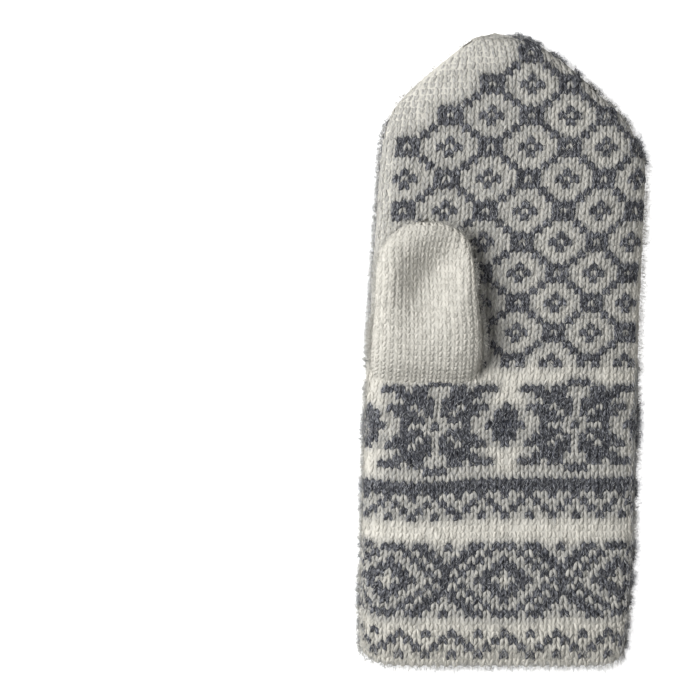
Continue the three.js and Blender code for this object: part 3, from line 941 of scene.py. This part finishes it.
def fuzz_piece(name, sources, material):
    """One piece of loose fibres from several sheets: (sheet, roots, kind) each."""
    points, tones = (np.concatenate(parts) for parts in zip(*(fuzz_of(*source) for source in sources)))
    foot = (np.arange(len(points)) * (FUZZ_SIDES + 2))[:, None]
    head = foot + FUZZ_SIDES + 1
    a, b = corner_pairs(FUZZ_SIDES)
    low = np.stack([foot + 0 * a, foot + 1 + b, foot + 1 + a], -1).reshape(-1, 3)
    high = np.stack([head + 0 * a, foot + 1 + a, foot + 1 + b], -1).reshape(-1, 3)
    mesh_piece(name, points.reshape(-1, 3), [low, high], material, FIBRE_LOWEST,
               {"tone": np.repeat(tones, FUZZ_SIDES + 2)})


def fuzz_material(name, dark, light):
    material, tree, shader = principled(name, roughness=0.9, sheen=0.1, tint=light)
    tree.links.new(mixed(tree, attribute(tree, "tone"), dark, light), shader.inputs["Base Color"])
    return material


# The yarns
wool_group = new_wool_group()
WHITE = (0.452, 0.435, 0.391, 1)
WHITE_LIGHT = (0.50, 0.485, 0.44, 1)
WHITE_DARK = (0.39, 0.375, 0.333, 1)
GREY = (0.016, 0.0185, 0.029, 1)
GREY_LIGHT = (0.22, 0.227, 0.25, 1)
GREY_DARK = (0.009, 0.0105, 0.017, 1)
GREY_STRAY = (0.035, 0.048, 0.075, 1)
GREY_GROUND_TONE = (0.012, 0.0135, 0.021, 1)
WHITE_FIBRE_TONES = ((0.1, 0.1, 0.1, 1), (0.6, 0.585, 0.54, 1))
GREY_FIBRE_TONES = ((0.012, 0.014, 0.022, 1), (0.46, 0.47, 0.49, 1))
white_yarn = yarn_material("white_wool", WHITE, WHITE_LIGHT, WHITE_DARK, GREY_STRAY, cover=0.36, sheen=0.04)
grey_yarn = yarn_material("grey_wool", GREY, GREY_LIGHT, GREY_DARK, WHITE, cover=0.06, sheen=0.02)
cloth = cloth_material("knitted_ground", WHITE_LIGHT, GREY_GROUND_TONE, shadow=0.85)
white_fuzz = fuzz_material("white_fibre", *WHITE_FIBRE_TONES)
grey_fuzz = fuzz_material("grey_fibre", *GREY_FIBRE_TONES)

# The hand and the thumb
SIDE_COLUMNS = 4  # on each side of an edge stitch, where the ground is painted lighter against the shade at the outline
SIDE_GROUND_PAINTED_LIGHT = 0.4  # how dark the ground beside the edge stitches is, as a share of the rest: painted light against the shade at the outline
CUFF_SIDE_PAINTED_LIGHT = 0.8  # the least share of white stray fibres over the grey stitches at the cuff's sides, which also paints light against the shade there
SLOPE_PAINTED_SHADE = 0.12  # the least share of grey stray fibres at the tip's left edge, a painted shade
STRIP_PAINTED_SHADE = 0.2  # and over the palm's left part, a painted shade
THUMB_STRAY = 0.06  # and on the thumb
FOOT_MARGIN = 0.6  # how far inside the outline of the thumb's foot the palm's stitches end
STITCH_MARGIN = 0.3  # how near in columns a stitch may lie to those that the decreases have taken
hand, taken = hand_sheet()
thumb, thumb_halves = thumb_sheet()


def at_least(values, mask, lowest):
    return np.where(mask, np.maximum(values, lowest), values)


def whole_rows(values, count):
    """The values of a sheet's first rows, without those in between."""
    return values[:round(count / SHEET_STEP):round(1 / SHEET_STEP)]


def stitches_in(grid, mask):
    """The row and the column of each stitch under a mask."""
    return np.stack([grid[0][mask], grid[1][mask]], -1)


hand_grid = np.meshgrid(np.arange(HAND_ROWS), np.arange(COLUMNS) - COLUMNS // 2, indexing="ij")
row_grid, column_grid = hand_grid
far = np.abs(column_grid)
front = far <= FRONT_EDGE
cuff = row_grid < LATTICE_START
left = column_grid < 0
# Beside the edge stitches the ground and the cuff's grey stitches are painted lighter, against the shade at
# the outline
side = np.abs(far - FRONT_EDGE) < SIDE_COLUMNS
grey = np.vectorize(is_grey, otypes=[bool])(*hand_grid)
stray_grey = local_grey(grey.astype(float))
ground_tone = np.clip(FLOAT_GREY * stray_grey, 0, 1) * np.where(side, SIDE_GROUND_PAINTED_LIGHT, 1)
stray_grey[:HEM_ROWS] *= HEM_CLEARING
stray_grey *= np.vectorize(eye_clearing, otypes=[float])(*hand_grid)
# Grey stray fibres darken the tip's left edge: painted shade
painted_shade_slope = (row_grid >= CLOSING_ROWS[1]) & left & ~front & (far < FRONT_EDGE + 2)
stray_grey = at_least(stray_grey, painted_shade_slope, SLOPE_PAINTED_SHADE)
# Grey stray fibres darken the palm's left part: painted shade
stray_grey = at_least(stray_grey, ~cuff & left & front, STRIP_PAINTED_SHADE)
# White stray fibres lighten the grey stitches at the cuff's sides: partly fuzz, partly painted light against
# the shade there
stray_white = at_least(1 - stray_grey, cuff & side, CUFF_SIDE_PAINTED_LIGHT)
foot_ring = thumb_surface(np.array([0.0]), clockwise_angles())[0, :, :2]
foot_centre = foot_ring.mean(axis=0)
foot_reach = np.abs(foot_ring - foot_centre).max(axis=0) - FOOT_MARGIN
off_foot = np.abs(sample(hand, *hand_grid)[..., :2] - foot_centre) / foot_reach
in_foot = ((off_foot ** FOOT_FULLNESS).sum(axis=-1) < 1) & front
left_gone, right_gone, back_gone = whole_rows(taken, HAND_ROWS).T[..., None]
front_gone = np.where(left, left_gone, right_gone)
alive = np.where(front, far <= FRONT_EDGE - front_gone - STITCH_MARGIN, True)
alive = np.where(far > FRONT_EDGE + 2, COLUMNS // 2 - far <= BACK_EDGE - back_gone - STITCH_MARGIN, alive)
present = alive & ~in_foot

# The hand's stitches by zone: rows from and below, columns from and below, and the white yarn's shape
PALM_END = FRONT_EDGE + 0.6
zones = {
    "cuff": (0, SOLID_LINE[0], 0, COLUMNS, CUFF_WHITE),
    "wrist": (SOLID_LINE[0], LATTICE_START, 0, COLUMNS, WRIST_WHITE),
    "palm": (LATTICE_START, HAND_ROWS, 0, PALM_END, PALM_WHITE),
    "back": (LATTICE_START, HAND_ROWS, PALM_END, COLUMNS, PALM_WHITE),
}
for zone, (low_row, high_row, nearest, farthest, white_shape) in zones.items():
    inside = present & (row_grid >= low_row) & (row_grid < high_row) & (far >= nearest) & (far < farthest)
    for tone, is_tone, stray, material, shape in (("white", ~grey, stray_grey, white_yarn, white_shape),
                                                  ("grey", grey, stray_white, grey_yarn, GREY_SHAPE)):
        stitches = stitches_in(hand_grid, inside & is_tone)
        stitch_piece(f"{zone}_{tone}_stitches", hand, stitches, stray, material, shape)

ground_piece("hand_cloth", hand, ~in_foot, ground_tone, HAND_WALL, cloth, ("hand",))

# The cast-on edge, two strands twisted round each other
EDGE_STEPS = 8  # points to a stitch
EDGE_REACH = 0.5  # how far each strand swings
EDGE_FLATNESS = 1.4  # how much further it swings in and out than up and down
EDGE_STRAND = 0.42  # the strands' radius
EDGE_RAISE = 0.8  # how far their middle lies above the first row's place
EDGE_STRAYS = {"first": 0, "second": 0.05}
edge_columns = np.arange(COLUMNS * EDGE_STEPS) / EDGE_STEPS + hand.first
edge_rows = 0 * edge_columns
edge_outside = sample(hand, edge_rows, edge_columns)
edge_normal = outward(hand, edge_rows + ROW_REACH, edge_columns)
edge_down = unit(edge_outside - sample(hand, edge_rows + 1, edge_columns))
edge_middle = edge_outside - edge_normal * HAND_WALL / 2 - edge_down * EDGE_RAISE
for number, (label, stray) in enumerate(EDGE_STRAYS.items()):
    turn = 2 * math.pi * edge_columns[:, None] + number * math.pi
    swing = np.cos(turn) * edge_down + EDGE_FLATNESS * np.sin(turn) * edge_normal
    cord_piece(f"edge_{label}_strand", edge_middle + EDGE_REACH * swing, EDGE_STRAND, stray,
               white_yarn)

# The thumb's stitches
thumb_grid = np.meshgrid(np.arange(THUMB_ROWS), np.arange(-THUMB_HALF, THUMB_HALF + 1), indexing="ij")
thumb_alive = np.abs(thumb_grid[1]) <= whole_rows(thumb_halves, THUMB_ROWS)[:, None] - STITCH_MARGIN
thumb_plain = np.full(thumb_alive.shape, THUMB_STRAY)
stitch_piece("thumb_stitches", thumb, stitches_in(thumb_grid, thumb_alive), thumb_plain,
             white_yarn, THUMB_SHAPE)
ground_piece("thumb_cloth", thumb, np.ones((THUMB_ROWS, 2 * THUMB_HALF), bool), thumb_plain[:, 1:],
             THUMB_WALL, cloth, ("thumb",))

# The loose fibres: lengths, lean, radius, how much they follow the stitches, and tones
WHITE_WISP = ((2.2, 5.0), (0.05, 0.4), 0.07, 2.6, (0.9, 1.0))
GREY_WISP = ((1.6, 4.2), (0.05, 0.5), 0.15, 2.6, (0.0, 1.0))
BORDER_WISP = ((2.4, 5.6), (0.05, 0.5), 0.06, 1.2, (0.1, 1.0))
TUFT = ((1.4, 5.0), (0.7, 1.8), 0.06, 0, (0.75, 1.0))
HALO = ((2.0, 8.0), (0.7, 1.8), 0.05, 0, (0.5, 1.0))
SPECK = ((1.4, 3.6), (0.6, 1.6), 0.12, 0, (0.0, 0.3))
FRINGE = ((2.0, 6.4), (0.1, 1.0), 0.055, -1.4, (0.8, 1.0))
FRINGE_DOWN = 0.3  # how many rows below the first one the fringe hangs
SIDE_FACING = 0.3  # the outward direction's share of up, below which a stitch lies at the outline
HAZE_FACING = 0.65  # the same, below which white hairs veil the cuff's stitches
facing = np.abs(outward(hand, *hand_grid)[..., 2])
rim = (facing < SIDE_FACING) | (row_grid >= HAND_ROWS - 1)
haze = (facing < HAZE_FACING) & cuff
thumb_rim = thumb_alive & (np.abs(outward(thumb, *thumb_grid)[..., 2]) < SIDE_FACING)


def fibres(cover, mask, count, kind, down=0):
    """Fibres of one kind from random stitches under a mask, of the hand or of the thumb."""
    sheet, grid, present = cover
    stitches = stitches_in(grid, present & mask)
    return sheet, stitches[rng.integers(0, len(stitches), count)] - np.array([down, 0]), kind


on_hand = (hand, hand_grid, present)
on_thumb = (thumb, thumb_grid, thumb_alive)
fuzz_piece("white_fuzz", [
    fibres(on_hand, ~grey & front, 5500, WHITE_WISP),
    fibres(on_hand, ~grey & ~front, 2000, WHITE_WISP),
    fibres(on_hand, ~grey & rim, 3200, TUFT),
    fibres(on_hand, ~grey & rim, 3600, HALO),
    fibres(on_hand, rim & cuff, 1800, TUFT),
    fibres(on_hand, front & (row_grid < HEM_ROWS), 800, WHITE_WISP),
    fibres(on_hand, row_grid < 1, 2000, FRINGE, FRINGE_DOWN),
    fibres(on_hand, haze, 4500, WHITE_WISP),
    fibres(on_hand, front & (row_grid < 2), 800, WHITE_WISP),
    fibres(on_thumb, thumb_alive, 2800, WHITE_WISP),
    fibres(on_thumb, thumb_rim, 2200, TUFT),
    fibres(on_thumb, thumb_rim, 1000, HALO),
], white_fuzz)
fuzz_piece("grey_fuzz", [
    fibres(on_hand, grey & front, 9000, GREY_WISP),
    fibres(on_hand, grey & ~front, 2500, GREY_WISP),
    fibres(on_hand, grey & rim, 3400, TUFT),
    fibres(on_hand, grey & rim, 5000, HALO),
    fibres(on_hand, grey & rim & (column_grid > 0), 1300, SPECK),
    fibres(on_hand, row_grid < 1, 1300, FRINGE, FRINGE_DOWN),
    fibres(on_hand, grey & front, 5000, BORDER_WISP),
    fibres(on_hand, haze & (column_grid > 0), 2500, WHITE_WISP),
    fibres(on_hand, rim & cuff, 700, TUFT),
], grey_fuzz)

# The floor, the lights and the camera
FLOOR_SIZE = 6
FLOOR_LIGHT = 0.1  # how bright it glows for the mitten
FLOOR_SEEN = 0.86  # and for the camera
FLOOR_TONES = (0.90, 0.92)
FLOOR_GRAIN = (6, 2, 0.5, (1, 1, 1))
WORLD_LIGHT = 0.33
SENSOR = 36
CLIP_START = 0.05


def neutral(tone):
    return (tone, tone, tone, 1)


bpy.ops.object.select_all(action="DESELECT")
bpy.ops.mesh.primitive_plane_add(size=FLOOR_SIZE, location=(0, 0, 0))
floor = bpy.context.object
floor.name = "floor"
floor_material, tree, shader = principled("pale_floor", roughness=0.9, sheen=0.0, tint=neutral(1))
shader.inputs["Emission Strength"].default_value = 1
seen = add_node(tree, "ShaderNodeLightPath").outputs["Is Camera Ray"]
tree.links.new(mixed(tree, seen, neutral(FLOOR_LIGHT), neutral(FLOOR_SEEN)), shader.inputs["Emission Color"])
grain = noise(tree, object_place(tree), FLOOR_GRAIN)
tree.links.new(mixed(tree, grain, *map(neutral, FLOOR_TONES)), shader.inputs["Base Color"])
floor.data.materials.append(floor_material)

world = bpy.data.worlds.new("studio")
bpy.context.scene.world = world
world.use_nodes = True
background = world.node_tree.nodes["Background"].inputs
background["Color"].default_value = neutral(1)
background["Strength"].default_value = WORLD_LIGHT


def area_light(name, place, size, power):
    """A square light that shines at the origin."""
    light = bpy.data.lights.new(name, "AREA")
    light.size = size
    light.energy = power
    holder = bpy.data.objects.new(name, light)
    bpy.context.collection.objects.link(holder)
    holder.location = place
    x, y, z = place
    holder.rotation_euler = (math.atan2(math.hypot(x, y), z), 0, math.atan2(-y, -x) - math.pi / 2)


area_light("key_light", (-1.25, 0.3, 1.25), size=1.1, power=58)
area_light("fill_light", (1.4, -0.3, 1.0), size=1.2, power=3)

camera_data = bpy.data.cameras.new("camera")
camera = bpy.data.objects.new("camera", camera_data)
bpy.context.collection.objects.link(camera)
camera_data.sensor_width = SENSOR
camera_data.lens = SENSOR * (VIEW_HEIGHT - OUTLINE_HEIGHT) / VIEW_WIDTH
camera_data.clip_start = CLIP_START
camera.location = (*VIEW_CENTRE, VIEW_HEIGHT)
camera.rotation_euler = (0, 0, VIEW_TURN)
bpy.context.scene.camera = camera
bpy.context.scene.view_settings.view_transform = "Standard"
